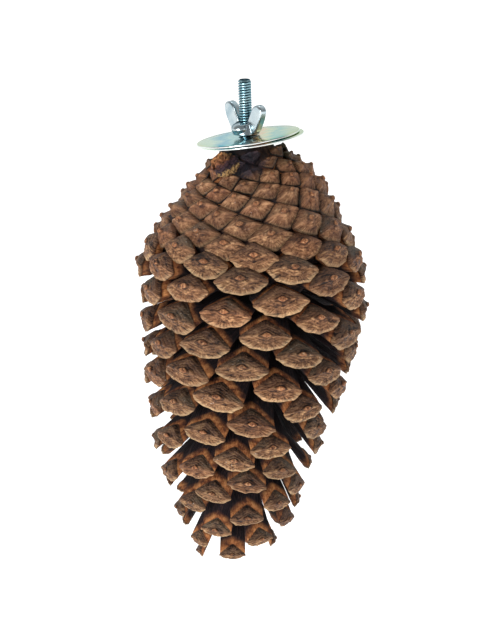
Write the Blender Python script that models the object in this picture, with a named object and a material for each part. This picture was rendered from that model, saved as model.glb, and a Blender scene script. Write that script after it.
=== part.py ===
"""Open maritime pine cone on a cage-clamp fixing: stud, two washers and a wing nut."""
import math
import random

import bmesh
import bpy
import numpy as np
from mathutils import Matrix, Vector

MM = 0.001
FIT_GAP = 0.3 * MM            # clearance between pieces that touch

# Stud, 1/4 inch with 20 threads an inch above and a wood-screw end below
STUD_RADIUS = 3.17 * MM
STUD_TOP = 29.5 * MM
STUD_THREAD_PITCH = 1.27 * MM
STUD_THREAD_DEPTH = 0.75 * MM
STUD_THREAD_START = 1.5 * MM
STUD_CHAMFER = 0.8 * MM
LAG_LENGTH = 25.0 * MM
LAG_THREAD_PITCH = 2.6 * MM
LAG_THREAD_DEPTH = 0.9 * MM
LAG_THREAD_TOP = -3.75 * MM
LAG_POINT = 6.0 * MM
LAG_POINT_WIDTH = 0.12
STUD_SIDES = 8
ROWS_PER_PITCH = 3

# Washers, 2 inches across, which lie on the uneven top of the cone a little out of square
WASHER_RADIUS = 25.4 * MM
WASHER_THICKNESS = 1.1 * MM
WASHER_LEAN = math.radians(7.0)
WASHER_TIP_BACK = math.radians(2.0)
LOWER_HOLE_RADIUS = 6.5 * MM
LOWER_OFFSET = 3.0 * MM
UPPER_HOLE_RADIUS = 4.6 * MM
UPPER_OFFSET = 1.1 * MM
WASHER_SIDES = 48

# Wing nut
NUT_TURN = math.radians(-48.0)
NUT_BASE_RADIUS = 6.8 * MM
NUT_TOP_RADIUS = 5.0 * MM
NUT_HEIGHT = 5.8 * MM
NUT_WING_THICKNESS = 3.2 * MM
NUT_WING_EDGE = 0.6 * MM
NUT_BORE_CLEARANCE = 0.25 * MM
NUT_WING = (                  # outline of one wing, from the axis out and from the base up
    (3.8, 1.6), (7.6, 1.8), (10.0, 5.4), (12.5, 10.6), (12.7, 13.0), (10.9, 14.6), (8.3, 13.6),
    (6.2, 10.0), (4.2, 5.2),
)

# The cone's scales run in one spiral from the stem end, which hangs uppermost
FIRST_SCALE = 4
LAST_SCALE = 202
DIVERGENCE = math.radians(137.754)
FIRST_ANGLE = math.radians(171.5)
SEED = 11

# What each scale is like, at chosen numbers down the spiral (millimetres and degrees)
STATION = (0, 20, 43, 64, 85, 98, 120, 144, 168, 190, 206)
DROP = (2.5, 13.4, 21, 33.5, 47.3, 57.4, 86.3, 117, 154, 188, 217)
RADIUS = (13, 22.5, 30.5, 39, 47.7, 52.8, 55, 50, 41, 30, 13)
FULL_SIDE = (4, 6, 7, 6.5, 5, 4.5, 2, 0, 0, 0, 0)
CENTRE = (0, 3, 3.5, 3.5, 2.5, 2.5, 2.5, -4, -10, -11, -14.5)
EXTRA_TURN = (2, 6, 6, 2, 0, 0, 0, 0, 0, 0, 0)
RING_TILT = (12, 9.5, 8.5, 4.5, 0, -0.5, -3, -6, -8, -5, -3)
HALF_WIDTH = (4.8, 6.7, 7.7, 9.7, 11.9, 13.2, 13.5, 12.7, 10.4, 8.5, 6)
UPPER_LENGTH = (0.9, 0.92, 0.92, 0.9, 0.82, 0.76, 0.74, 0.74, 0.76, 0.78, 0.8)
LOWER_LENGTH = (0.85, 0.85, 0.85, 0.82, 0.74, 0.66, 0.61, 0.59, 0.6, 0.62, 0.65)
UPPER_SLOPE = (5, 20, 33, 35, 35, 37, 42, 46, 52, 62, 75)
LOWER_SLOPE = (40, 50, 62, 72, 82, 88, 93, 96, 104, 114, 130)
BLADE_DROOP = (-80, -65, -48, -35, -15, 0, 22, 36, 45, 60, 75)

# How soon the fullness of the -X side fades, as a power
FULL_SIDE_FADE = 6

# A few scales near the tip that grew out of line, in degrees round the cone
STRAYS = {161: -8, 169: -17, 171: 4, 174: -11, 177: -9, 179: -7}

# Proportions of a scale, against half its width
LIP_WIDTH = 0.62
LIP_LENGTH = 0.80
CORNER_SET_BACK = 0.12
CORNER_DROP = 0.10
UMBO_RISE = 0.06
SHOULDER_WIDTH = 0.96
SHOULDER_SET_BACK = 0.40

# The blade behind the thick end of a scale
BLADE_THICKNESS = 3.2 * MM
BLADE_ROOT_HALF_WIDTH = 3.4 * MM
BLADE_MIDDLE = 0.45
BLADE_MIDDLE_WIDTH = 0.68
STEEPEST_BLADE = 0.45         # cosine of the steepest slope that still sets a blade's length
CLOSED_SCALES = 90
CLOSED_DEPTH = 8.0 * MM
CLOSED_TAPER = 0.35
ROOT_SINK = 0.5

# The woody middle of the cone
CORE_RADIUS = (10, 17.5, 25.5, 34, 40, 37, 13, 10, 8, 5.5, 2.5)
CORE_SIDES = 10
CORE_STEP = 17
CROWN_RADIUS = 14.0 * MM
CROWN_CENTRE = (4.0 * MM, 1.0 * MM, 1.0 * MM)
TRIM_SIZE = (200 * MM, 200 * MM, 40 * MM)
HOLE_OVERRUN = 5.0 * MM       # how far the drill's path stands out of the crown

# Cut stub of the stem, beside the stud
STUB_START = (-4.0, -10.0, -17.0)
STUB_END = (-14.0, -16.5, -7.5)
STUB_RADII = (7.0, 6.6, 5.2)


def at_scale(values, number):
    """Value at a scale's number, in the units of the table."""
    return float(np.interp(number, STATION, values))


def new_collection(name):
    collection = bpy.data.collections.new(name)
    bpy.context.scene.collection.children.link(collection)
    return collection


def make_material(name, colour, roughness, metallic):
    material = bpy.data.materials.new(name)
    material.use_nodes = True
    shader = material.node_tree.nodes["Principled BSDF"]
    shader.inputs["Base Color"].default_value = (*colour, 1.0)
    shader.inputs["Roughness"].default_value = roughness
    shader.inputs["Metallic"].default_value = metallic
    material.diffuse_color = (*colour, 1.0)
    return material


def add_object(name, bm, collection, material=None, smooth_angle=None):
    """Turn a bmesh into an object with faces outwards."""
    bmesh.ops.recalc_face_normals(bm, faces=bm.faces)
    mesh = bpy.data.meshes.new(name)
    bm.to_mesh(mesh)
    bm.free()
    if smooth_angle is not None:
        mesh.shade_smooth()
        mesh.set_sharp_from_angle(angle=smooth_angle)
    if material:
        mesh.materials.append(material)
    obj = bpy.data.objects.new(name, mesh)
    collection.objects.link(obj)
    return obj


def mark_cutter(obj):
    obj.hide_render = True
    obj.display_type = "WIRE"


def add_boolean(obj, cutter, operation, solver="EXACT"):
    modifier = obj.modifiers.new(cutter.name, "BOOLEAN")
    modifier.operation = operation
    modifier.solver = solver
    modifier.object = cutter
    return modifier


def loft(bm, rings, tip=None):
    """Skin a list of rings with the same number of points, and close both ends."""
    rows = [[bm.verts.new(point) for point in ring] for ring in rings]
    count = len(rows[0])
    for near, far in zip(rows, rows[1:]):
        for i in range(count):
            j = (i + 1) % count
            bm.faces.new((near[i], near[j], far[j], far[i]))
    bm.faces.new(rows[0][::-1])
    if tip is None:
        bm.faces.new(rows[-1])
        return
    peak = bm.verts.new(tip)
    for i in range(count):
        bm.faces.new((rows[-1][i], rows[-1][(i + 1) % count], peak))


def ring_frame(number):
    """Centre of the spiral's ring at a scale, with the ring's level direction and its axis."""
    centre = Vector((at_scale(CENTRE, number) * MM, 0.0, -at_scale(DROP, number) * MM))
    tilt = math.radians(at_scale(RING_TILT, number))
    level = Vector((math.cos(tilt), 0.0, math.sin(tilt)))
    axis = Vector((-math.sin(tilt), 0.0, math.cos(tilt)))
    return centre, level, axis


def outward_at(level, angle):
    """Direction out from the axis; angle 0 faces -Y and grows towards +X."""
    return level * math.sin(angle) + Vector((0.0, -math.cos(angle), 0.0))


def fullness(number, turn):
    """Extra radius of the fuller side, which is most at -X and fades out on either hand."""
    return at_scale(FULL_SIDE, number) * MM * max(0.0, -math.sin(turn)) ** FULL_SIDE_FADE


def slope_direction(outward, axis, slope):
    """Direction that runs out and down at a slope in degrees below the ring's plane."""
    angle = math.radians(slope)
    return outward * math.cos(angle) - axis * math.sin(angle)


def place_scales():
    """The settings of every scale, with the small differences that growth gives."""
    draw = random.Random(SEED)
    scales = []
    for number in range(FIRST_SCALE, LAST_SCALE + 1):
        centre, level, axis = ring_frame(number)
        extra = at_scale(EXTRA_TURN, number) + STRAYS.get(number, 0) + draw.uniform(-1.5, 1.5)
        turn = FIRST_ANGLE + DIVERGENCE * number + math.radians(extra)
        outward = outward_at(level, turn)
        radius = at_scale(RADIUS, number) * MM * (1.0 + draw.uniform(-0.015, 0.015))
        radius += fullness(number, turn)
        half_width = at_scale(HALF_WIDTH, number) * MM * (1.0 + draw.uniform(-0.05, 0.05))
        lean = draw.uniform(-4.0, 4.0)
        twist = math.radians(draw.uniform(-5.0, 5.0))
        side = axis.cross(outward)
        across = side * math.cos(twist) + axis * math.sin(twist)
        scales.append({
            "number": number,
            "umbo": centre + outward * radius,
            "radius": radius,
            "outward": outward,
            "axis": axis,
            "across": across,
            "half_width": half_width,
            "upper_length": half_width * at_scale(UPPER_LENGTH, number),
            "lower_length": half_width * at_scale(LOWER_LENGTH, number),
            "upper": at_scale(UPPER_SLOPE, number) + lean,
            "lower": at_scale(LOWER_SLOPE, number) + lean,
            "droop": at_scale(BLADE_DROOP, number) + lean,
            "core": at_scale(CORE_RADIUS, number) * MM + fullness(number, turn),
        })
    return scales


def scale_rim(scale):
    """Six points round the thick end: left corner, upper corner, right corner and the lip."""
    w = scale["half_width"]
    umbo, across = scale["umbo"], scale["across"]
    back = -slope_direction(scale["outward"], scale["axis"], scale["upper"])
    down = slope_direction(scale["outward"], scale["axis"], scale["lower"])
    corner = -scale["outward"] * CORNER_SET_BACK * w - scale["axis"] * CORNER_DROP * w
    lip = down * scale["lower_length"]
    return (
        umbo - across * w + corner,
        umbo + back * scale["upper_length"],
        umbo + across * w + corner,
        umbo + across * LIP_WIDTH * w + lip * LIP_LENGTH,
        umbo + lip,
        umbo - across * LIP_WIDTH * w + lip * LIP_LENGTH,
    )


def blade_ring(scale, middle, half_width):
    """Six points round the thin blade, in the same order as the rim."""
    across = scale["across"]
    up = slope_direction(scale["outward"], scale["axis"], scale["droop"] - 90.0)
    half = BLADE_THICKNESS / 2
    return (
        middle - across * half_width,
        middle + up * half,
        middle + across * half_width,
        middle + across * half_width * LIP_WIDTH - up * half * LIP_LENGTH,
        middle - up * half,
        middle - across * half_width * LIP_WIDTH - up * half * LIP_LENGTH,
    )


def scale_body(scale):
    """One scale: a root in the core, a thin blade, a shoulder and the thick rhombic end."""
    bm = bmesh.new()
    w = scale["half_width"]
    rim = scale_rim(scale)
    middle = sum(rim, Vector()) / len(rim)
    inward = -slope_direction(scale["outward"], scale["axis"], scale["droop"])
    tip = scale["umbo"] + (scale["outward"] + scale["axis"]) * UMBO_RISE * w
    if scale["number"] < CLOSED_SCALES:
        corners = (rim[0], rim[1], rim[2], rim[4])
        sunk = [middle + (point - middle) * CLOSED_TAPER + inward * CLOSED_DEPTH for point in corners]
        loft(bm, (sunk, corners), tip)
        return bm
    reach = scale["radius"] - scale["core"] * ROOT_SINK
    length = reach / max(math.cos(math.radians(scale["droop"])), STEEPEST_BLADE)
    under = inward * SHOULDER_SET_BACK * w
    shoulder = [middle + (point - middle) * SHOULDER_WIDTH + under for point in rim]
    root = blade_ring(scale, middle + inward * length, BLADE_ROOT_HALF_WIDTH)
    half_way = blade_ring(scale, middle + inward * length * BLADE_MIDDLE, w * BLADE_MIDDLE_WIDTH)
    loft(bm, (root, half_way, shoulder, rim), tip)
    return bm


def core_body():
    """The woody middle, which widens under the closed scales and fills the crown."""
    bm = bmesh.new()
    rings = []
    crown = Vector(CROWN_CENTRE)
    turns = [2 * math.pi * i / CORE_SIDES for i in range(CORE_SIDES)]
    rings.append([crown + outward_at(Vector((1, 0, 0)), turn) * CROWN_RADIUS for turn in turns])
    for number in range(0, LAST_SCALE, CORE_STEP):
        centre, level, axis = ring_frame(number)
        radii = [at_scale(CORE_RADIUS, number) * MM + fullness(number, turn) for turn in turns]
        rings.append([centre + outward_at(level, turn) * radius for turn, radius in zip(turns, radii)])
    loft(bm, rings)
    return bm


def stub_body():
    """Short cut stub of the stem, as a tube that swells towards its end."""
    curve = bpy.data.curves.new("stem_stub", "CURVE")
    curve.dimensions = "3D"
    curve.bevel_depth = 1.0 * MM
    curve.bevel_resolution = 1
    curve.use_fill_caps = True
    spline = curve.splines.new("POLY")
    start, end = Vector(STUB_START) * MM, Vector(STUB_END) * MM
    points = (start, (start + end) / 2 + Vector((0, 0, 1.5 * MM)), end)
    spline.points.add(len(points) - 1)
    for knot, place, radius in zip(spline.points, points, STUB_RADII):
        knot.co = (*place, 1.0)
        knot.radius = radius
    return mesh_from_curve("stem_stub", curve)


def mesh_from_curve(name, curve):
    """Evaluate a curve, weld its caps and hand back its mesh as a bmesh."""
    holder = bpy.data.objects.new(name, curve)
    bpy.context.scene.collection.objects.link(holder)
    bpy.context.view_layer.update()
    evaluated = holder.evaluated_get(bpy.context.evaluated_depsgraph_get())
    mesh = bpy.data.meshes.new_from_object(evaluated)
    bm = bmesh.new()
    bm.from_mesh(mesh)
    bmesh.ops.remove_doubles(bm, verts=bm.verts, dist=0.00001)
    bpy.data.objects.remove(holder)
    bpy.data.meshes.remove(mesh)
    return bm


def keep_outer_body(bm):
    """Drop what is not part of the one outer surface: sealed hollows and loose scraps."""
    bm.faces.ensure_lookup_table()
    unseen = set(bm.faces)
    islands = []
    while unseen:
        stack = [unseen.pop()]
        island = set(stack)
        while stack:
            for edge in stack.pop().edges:
                for face in edge.link_faces:
                    if face in unseen:
                        unseen.discard(face)
                        island.add(face)
                        stack.append(face)
        islands.append(island)
    islands.sort(key=len)
    loose = [face for island in islands[:-1] for face in island]
    bmesh.ops.delete(bm, geom=loose, context="FACES")


def build_cone(parts, cutters, material):
    """Core, scales and stub joined as one grown body, trimmed under the washer and drilled."""
    growth = new_collection("growth")
    for scale in place_scales():
        add_object("scale_%03d" % scale["number"], scale_body(scale), growth)
    add_object("stub", stub_body(), growth)
    cone = add_object("pine_cone", core_body(), parts, material)
    union = cone.modifiers.new("growth", "BOOLEAN")
    union.operand_type = "COLLECTION"
    union.collection = growth
    union.operation = "UNION"
    union.solver = "MANIFOLD"
    trim = add_trim_cutter(cutters)
    hole = add_hole_cutter(cutters)
    add_boolean(cone, trim, "DIFFERENCE", "MANIFOLD")
    add_boolean(cone, hole, "DIFFERENCE", "MANIFOLD")
    bpy.context.view_layer.update()
    evaluated = cone.evaluated_get(bpy.context.evaluated_depsgraph_get())
    mesh = bpy.data.meshes.new_from_object(evaluated)
    cone.modifiers.clear()
    bm = bmesh.new()
    bm.from_mesh(mesh)
    keep_outer_body(bm)
    bm.to_mesh(mesh)
    bm.free()
    cone.data = mesh
    for obj in list(growth.objects):
        bpy.data.objects.remove(obj)
    bpy.data.collections.remove(growth)
    return cone


def washer_lean():
    """Turn that lifts the washers' +X side, and their -Y side a little."""
    return Matrix.Rotation(-WASHER_LEAN, 4, "Y") @ Matrix.Rotation(-WASHER_TIP_BACK, 4, "X")


def add_trim_cutter(cutters):
    """Block above the lower washer's underside."""
    bm = bmesh.new()
    bmesh.ops.create_cube(bm, size=1.0, matrix=Matrix.Diagonal((*TRIM_SIZE, 1.0)))
    block = add_object("crown_trim", bm, cutters)
    rise = TRIM_SIZE[2] / 2 - WASHER_THICKNESS - FIT_GAP
    block.matrix_world = washer_lean() @ Matrix.Translation((0, 0, rise))
    mark_cutter(block)
    return block


def add_hole_cutter(cutters):
    """Blind hole for the wood-screw end."""
    bm = bmesh.new()
    radius = STUD_RADIUS + FIT_GAP
    length = LAG_LENGTH + FIT_GAP + HOLE_OVERRUN
    place = Matrix.Translation((0, 0, HOLE_OVERRUN - length / 2))
    bmesh.ops.create_cone(bm, cap_ends=True, segments=16, radius1=radius, radius2=radius, depth=length,
                          matrix=place)
    hole = add_object("stud_hole", bm, cutters)
    mark_cutter(hole)
    return hole


def saw(phase):
    """Triangle wave from 0 at a crest to 1 at a root."""
    return 1.0 - abs(2.0 * (phase % 1.0) - 1.0)


def stud_radius(height, turn):
    """Radius of the stud at a height and an angle round it."""
    part_turn = turn / (2 * math.pi)
    if height > STUD_THREAD_START:
        cut = saw(height / STUD_THREAD_PITCH - part_turn) * STUD_THREAD_DEPTH
        chamfer = max(0.0, height - (STUD_TOP - STUD_CHAMFER))
        return min(STUD_RADIUS - cut, STUD_RADIUS - chamfer)
    if height > LAG_THREAD_TOP:
        return STUD_RADIUS - STUD_THREAD_DEPTH / 2
    cut = saw(height / LAG_THREAD_PITCH - part_turn) * LAG_THREAD_DEPTH
    point = min(1.0, (height + LAG_LENGTH) / LAG_POINT + LAG_POINT_WIDTH)
    return (STUD_RADIUS - cut) * point


def build_stud(parts, material):
    """Threaded stud: machine thread above the cone, wood-screw thread inside it."""
    lag_step = LAG_THREAD_PITCH / ROWS_PER_PITCH
    step = STUD_THREAD_PITCH / ROWS_PER_PITCH
    heights = list(np.arange(-LAG_LENGTH, LAG_THREAD_TOP, lag_step)) + [0.0]
    heights += list(np.arange(STUD_THREAD_START, STUD_TOP - step / 2, step)) + [STUD_TOP]
    turns = [2 * math.pi * i / STUD_SIDES for i in range(STUD_SIDES)]
    rings = []
    for height in heights:
        radii = [stud_radius(height, turn) for turn in turns]
        rings.append([(r * math.cos(t), r * math.sin(t), height) for r, t in zip(radii, turns)])
    bm = bmesh.new()
    loft(bm, rings)
    return add_object("hanger_stud", bm, parts, material, math.radians(50))


def build_washer(name, parts, material, hole_radius, offset, base):
    """Flat ring turned from a small rectangle with eased edges."""
    ease = 0.25 * MM
    profile = (
        (hole_radius, 0.0), (hole_radius, WASHER_THICKNESS), (WASHER_RADIUS - ease, WASHER_THICKNESS),
        (WASHER_RADIUS, WASHER_THICKNESS - ease), (WASHER_RADIUS, ease), (WASHER_RADIUS - ease, 0.0),
    )
    bm = bmesh.new()
    verts = [bm.verts.new((radius, 0.0, height)) for radius, height in profile]
    for i in range(len(verts)):
        bm.edges.new((verts[i], verts[(i + 1) % len(verts)]))
    bmesh.ops.spin(bm, geom=bm.verts[:] + bm.edges[:], cent=(0, 0, 0), axis=(0, 0, 1),
                   angle=2 * math.pi, steps=WASHER_SIDES, use_merge=True)
    washer = add_object(name, bm, parts, material, math.radians(30))
    washer.matrix_world = washer_lean() @ Matrix.Translation((offset, 0, base))
    return washer


def wing_body():
    """One wing of the nut, a flat outline with a small bevel."""
    curve = bpy.data.curves.new("wing", "CURVE")
    curve.dimensions = "2D"
    curve.fill_mode = "BOTH"
    curve.resolution_u = 3
    curve.extrude = NUT_WING_THICKNESS / 2 - NUT_WING_EDGE
    curve.bevel_depth = NUT_WING_EDGE
    curve.bevel_resolution = 0
    spline = curve.splines.new("BEZIER")
    spline.bezier_points.add(len(NUT_WING) - 1)
    for knot, (reach, height) in zip(spline.bezier_points, NUT_WING):
        knot.co = (reach * MM, height * MM, 0.0)
        knot.handle_left_type = "AUTO"
        knot.handle_right_type = "AUTO"
    spline.use_cyclic_u = True
    bm = mesh_from_curve("wing", curve)
    bmesh.ops.rotate(bm, verts=bm.verts, cent=(0, 0, 0), matrix=Matrix.Rotation(math.pi / 2, 3, "X"))
    return bm


def build_wing_nut(parts, cutters, material):
    """Tapered hub with two wings, bored clear of the thread."""
    bm = bmesh.new()
    place = Matrix.Translation((0, 0, NUT_HEIGHT / 2))
    bmesh.ops.create_cone(bm, cap_ends=True, segments=24, radius1=NUT_BASE_RADIUS,
                          radius2=NUT_TOP_RADIUS, depth=NUT_HEIGHT, matrix=place)
    nut = add_object("wing_nut", bm, parts, material, math.radians(35))
    for side in range(2):
        wing = add_object("nut_wing_%d" % side, wing_body(), cutters)
        wing.rotation_euler = (0, 0, NUT_TURN + math.pi * side)
        mark_cutter(wing)
        wing.location = nut_seat()
        add_boolean(nut, wing, "UNION")
    bore = bmesh.new()
    radius = STUD_RADIUS + NUT_BORE_CLEARANCE
    bmesh.ops.create_cone(bore, cap_ends=True, segments=24, radius1=radius, radius2=radius,
                          depth=4 * NUT_HEIGHT)
    cutter = add_object("nut_bore", bore, cutters)
    mark_cutter(cutter)
    add_boolean(nut, cutter, "DIFFERENCE")
    nut.location = nut_seat()
    return nut


def nut_seat():
    """Height of the nut's base: clear of the leaning washer at the high side."""
    level = math.cos(WASHER_LEAN) * math.cos(WASHER_TIP_BACK)
    rise = math.tan(math.acos(level)) * NUT_BASE_RADIUS
    top = FIT_GAP + WASHER_THICKNESS
    return Vector((0.0, 0.0, top / level + rise + FIT_GAP))


def main():
    for obj in list(bpy.data.objects):
        bpy.data.objects.remove(obj)
    parts = new_collection("pine_cone_on_clamp")
    cutters = new_collection("cutters")
    bark = make_material("pine_wood", (0.19, 0.10, 0.05), 0.75, 0.0)
    zinc = make_material("zinc_plate", (0.66, 0.72, 0.74), 0.28, 1.0)
    build_cone(parts, cutters, bark)
    build_stud(parts, zinc)
    build_washer("lower_washer", parts, zinc, LOWER_HOLE_RADIUS, LOWER_OFFSET, -WASHER_THICKNESS)
    build_washer("upper_washer", parts, zinc, UPPER_HOLE_RADIUS, UPPER_OFFSET, FIT_GAP)
    build_wing_nut(parts, cutters, zinc)


main()
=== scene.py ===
# Open maritime pine cone hung by its stem end from a cage clamp: stud, two washers and a wing nut
import math
import random

import bpy
import numpy as np
from mathutils import Matrix, Vector


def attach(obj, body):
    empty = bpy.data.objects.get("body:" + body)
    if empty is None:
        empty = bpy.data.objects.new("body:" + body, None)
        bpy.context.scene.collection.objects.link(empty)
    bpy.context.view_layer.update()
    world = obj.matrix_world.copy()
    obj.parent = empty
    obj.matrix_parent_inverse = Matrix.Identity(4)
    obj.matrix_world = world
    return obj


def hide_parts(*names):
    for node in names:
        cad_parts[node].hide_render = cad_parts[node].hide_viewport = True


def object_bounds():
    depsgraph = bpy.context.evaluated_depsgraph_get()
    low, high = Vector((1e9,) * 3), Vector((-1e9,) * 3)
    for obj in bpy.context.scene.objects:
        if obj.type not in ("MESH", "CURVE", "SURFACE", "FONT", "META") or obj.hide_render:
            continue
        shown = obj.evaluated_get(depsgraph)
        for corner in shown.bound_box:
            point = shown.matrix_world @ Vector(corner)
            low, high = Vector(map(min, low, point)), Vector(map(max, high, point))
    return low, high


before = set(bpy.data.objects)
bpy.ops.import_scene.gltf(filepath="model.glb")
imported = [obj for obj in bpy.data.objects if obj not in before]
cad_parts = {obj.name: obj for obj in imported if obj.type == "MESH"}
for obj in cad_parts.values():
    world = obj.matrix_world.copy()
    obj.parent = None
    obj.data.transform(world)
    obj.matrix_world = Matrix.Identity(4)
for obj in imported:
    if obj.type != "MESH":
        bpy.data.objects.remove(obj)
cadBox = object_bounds()

mm = 0.001


def linearColor(code):
    # sRGB hex to the linear values that a shader socket takes
    parts = [int(code[i:i + 2], 16) / 255 for i in (1, 3, 5)]
    return tuple(p / 12.92 if p <= 0.04045 else ((p + 0.055) / 1.055) ** 2.4 for p in parts) + (1.0,)


def fillSockets(tree, node, inputs):
    # a socket takes a link or a value of its own
    for name, value in inputs.items():
        if isinstance(value, bpy.types.NodeSocket):
            tree.links.new(value, node.inputs[name])
        else:
            node.inputs[name].default_value = value


def addNode(tree, kind, settings=None, inputs=None, stops=None):
    # one node with its settings, its socket values or links, and the stops of its ramp
    node = tree.nodes.new("ShaderNode" + kind)
    for name, value in (settings or {}).items():
        setattr(node, name, value)
    fillSockets(tree, node, inputs or {})
    if stops:
        ramp = node.color_ramp.elements
        while len(ramp) < len(stops):
            ramp.new(1.0)
        for element, (place, color) in zip(ramp, stops):
            element.position = place
            element.color = linearColor(color)
    return node


# settings that many nodes share
multiply, multiplyAdd = {"operation": "MULTIPLY"}, {"operation": "MULTIPLY_ADD"}
smooth = {"interpolation_type": "SMOOTHSTEP"}
colorMix = {"data_type": "RGBA"}


def layOver(tree, color, *layers):
    # finishes laid one over another, each as: its pattern, the values where it starts and is full,
    # its greatest cover, its masks, its blend and its colour
    for pattern, start, full, cover, masks, blend, finish in layers:
        share = addNode(tree, "MapRange", smooth, {0: pattern, 1: start, 2: full, 4: cover}).outputs[0]
        for mask in masks:
            share = addNode(tree, "Math", multiply, {0: share, 1: mask}).outputs[0]
        finish = linearColor(finish) if isinstance(finish, str) else finish
        color = addNode(tree, "Mix", {"data_type": "RGBA", "blend_type": blend},
                        {0: share, 6: color, 7: finish}).outputs[2]
    return color


def newMaterial(name):
    material = bpy.data.materials.new(name)
    material.use_nodes = True
    return material, material.node_tree, material.node_tree.nodes["Principled BSDF"]


def deselectAll():
    if bpy.context.object and bpy.context.object.mode != "OBJECT":
        bpy.ops.object.mode_set(mode="OBJECT")
    bpy.ops.object.select_all(action="DESELECT")


def pick(*objects):
    deselectAll()
    for obj in objects:
        obj.select_set(True)
    bpy.context.view_layer.objects.active = objects[0]


def applyModifier(obj, kind, **settings):
    pick(obj)
    modifier = obj.modifiers.new(kind.lower(), kind)
    for name, value in settings.items():
        setattr(modifier, name, value)
    bpy.ops.object.modifier_apply(modifier=modifier.name)


def joinPieces(name, objects):
    pick(*objects)
    bpy.ops.object.join()
    joined = bpy.context.object
    joined.name = joined.data.name = name
    return joined


def finishPiece(obj, name, material, body, slotName, *nodes, angle=40):
    # place goes into the mesh, then shading, material, body and the node it stands for
    pick(obj)
    bpy.ops.object.transform_apply(location=True, rotation=True, scale=True)
    bpy.ops.object.shade_smooth_by_angle(angle=math.radians(angle))
    obj.name = obj.data.name = name
    obj.data.materials.clear()
    obj.data.materials.append(material)
    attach(obj, body)
    if nodes:
        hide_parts(*nodes)
    return obj


def smoothStep(low, high, value):
    t = np.clip((value - low) / (high - low), 0.0, 1.0)
    return t * t * (3.0 - 2.0 * t)


# Camera: the photo's frame, measured on the 2 inch washers and the 1/4 inch stud
photoView = {
    "widthPx": 502,
    "heightPx": 642,
    "pxPerMm": 2.047,
    "distance": 1.5,
    "elevation": 10.5,
    "lean": 1.6,                    # the fixing hangs a little out of plumb in the photo
    "originPx": (246.2, 139.0),     # where the stud goes through the washers
    "sensor": 36.0,
}


def addCamera(view):
    focal = view["pxPerMm"] * view["distance"] / mm
    acrossPx = view["originPx"][0] - view["widthPx"] / 2
    upPx = view["heightPx"] / 2 - view["originPx"][1]
    pitch = math.radians(view["elevation"]) + math.atan(upPx / focal)
    forward = Vector((0, math.cos(pitch), -math.sin(pitch)))
    right = Vector((1, 0, 0))
    up = right.cross(forward)
    ray = (forward + right * acrossPx / focal + up * upPx / focal).normalized()
    data = bpy.data.cameras.new("studio_camera")
    data.sensor_fit = "VERTICAL"
    data.sensor_height = view["sensor"]
    data.lens = focal / view["heightPx"] * view["sensor"]
    data.clip_start, data.clip_end = 0.05, 50
    camera = bpy.data.objects.new("studio_camera", data)
    bpy.context.scene.collection.objects.link(camera)
    turn = Matrix((right, up, -forward)).transposed().to_4x4()
    turn.translation = -ray * view["distance"]
    camera.matrix_world = Matrix.Rotation(math.radians(view["lean"]), 4, "Y") @ turn
    bpy.context.scene.camera = camera


studio = {
    "floorDrop": 0.10,              # floor this far below the cone's tip
    "floorRadius": 12.0,
    "floorColor": "#f7f7f6",
    "floorGlow": 0.7,               # keeps the floor and the sky the same white
    "sky": (0.28, 1.0),             # strength from the front and from behind
    "skyTurn": (-0.1, 0.5),         # the directions between which the one becomes the other
    "aim": (0, 0, -0.1),
    "key": (21.0, 0.9, (-0.85, -1.55, 0.10)),     # power, size, place
    "fill": (2.0, 1.2, (1.30, -1.20, 0.10)),
    "back": (6.0, 1.0, (0.3, 0.9, 2.2)),
}


def addStudio(setup):
    scene = bpy.context.scene
    scene.view_settings.view_transform = "Standard"
    world = bpy.data.worlds.new("studio")
    scene.world = world
    world.use_nodes = True
    tree = world.node_tree
    way = addNode(tree, "TexCoord").outputs["Generated"]
    depthAway = addNode(tree, "SeparateXYZ", inputs={0: way}).outputs[1]
    (front, behind), (turnFrom, turnTo) = setup["sky"], setup["skyTurn"]
    sky = addNode(tree, "MapRange", inputs={0: depthAway, 1: turnFrom, 2: turnTo, 3: front, 4: behind})
    # the camera sees the sky plain white
    seen = addNode(tree, "LightPath").outputs["Is Camera Ray"]
    strength = addNode(tree, "MapRange", inputs={0: seen, 3: sky.outputs[0], 4: 1.0}).outputs[0]
    fillSockets(tree, tree.nodes["Background"], {"Color": linearColor("#ffffff"), "Strength": strength})
    for name in ("key", "fill", "back"):
        power, size, place = setup[name]
        data = bpy.data.lights.new(name, "AREA")
        data.energy = power
        data.shape = "DISK"
        data.size = size
        light = bpy.data.objects.new(name, data)
        scene.collection.objects.link(light)
        light.location = place
        light.rotation_mode = "QUATERNION"
        light.rotation_quaternion = (Vector(setup["aim"]) - Vector(place)).to_track_quat("-Z", "Y")
    deselectAll()
    depth = cadBox[0].z - setup["floorDrop"]
    bpy.ops.mesh.primitive_circle_add(vertices=96, radius=setup["floorRadius"], fill_type="NGON",
                                      location=(0, 0, depth))
    floor = bpy.context.object
    floor.name = "studio_floor"
    material, tree, shader = newMaterial("mattePaperFloor")
    fillSockets(tree, shader, {
        "Base Color": linearColor(setup["floorColor"]), "Roughness": 0.95, "Specular IOR Level": 0.1,
        "Emission Color": linearColor("#ffffff"), "Emission Strength": setup["floorGlow"]})
    floor.data.materials.append(material)


addCamera(photoView)
addStudio(studio)
print("camera, lights and floor are in place")


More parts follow.
